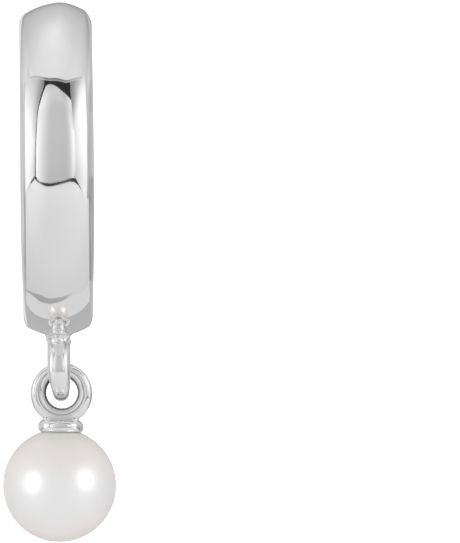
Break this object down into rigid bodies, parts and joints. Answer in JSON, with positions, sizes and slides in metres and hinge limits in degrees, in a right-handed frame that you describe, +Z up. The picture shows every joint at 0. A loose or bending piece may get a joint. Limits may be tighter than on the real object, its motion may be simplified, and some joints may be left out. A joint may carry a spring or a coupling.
{
  "type": "pearl drop hoop earring",
  "caption": "Small domed metal hoop earring with an ear post across its gap and a round pearl that hangs free from a soldered loop.",
  "frame": {"origin": "middle of the ear post, where the earring sits in the ear's piercing", "axes": "+Z up, -Y towards the viewer who sees the hoop edge-on, +X to that viewer's right and along the hoop's own axis"},
  "size_m": [0.0042, 0.0124, 0.02],
  "materials": {
    "hoop_metal": "mirror-polished white gold",
    "arm_metal": "polished white gold",
    "drop_metal": "mirror-polished white gold",
    "nacre": "glossy nacre with a soft pink and green overtone"
  },
  "bodies": {
    "hoop": {"hoop_band": "hoop_metal", "back_arm": "arm_metal"},
    "drop": {"drop_eye": "drop_metal", "pearl": "nacre"}
  },
  "joints": [
    {"name": "drop_swing", "type": "hinge", "parent": "hoop", "child": "drop", "pos_m": [0.0001, -0.00271, -0.01319], "axis": [0, 1, 0], "range_deg": [-80, 80]}
  ]
}
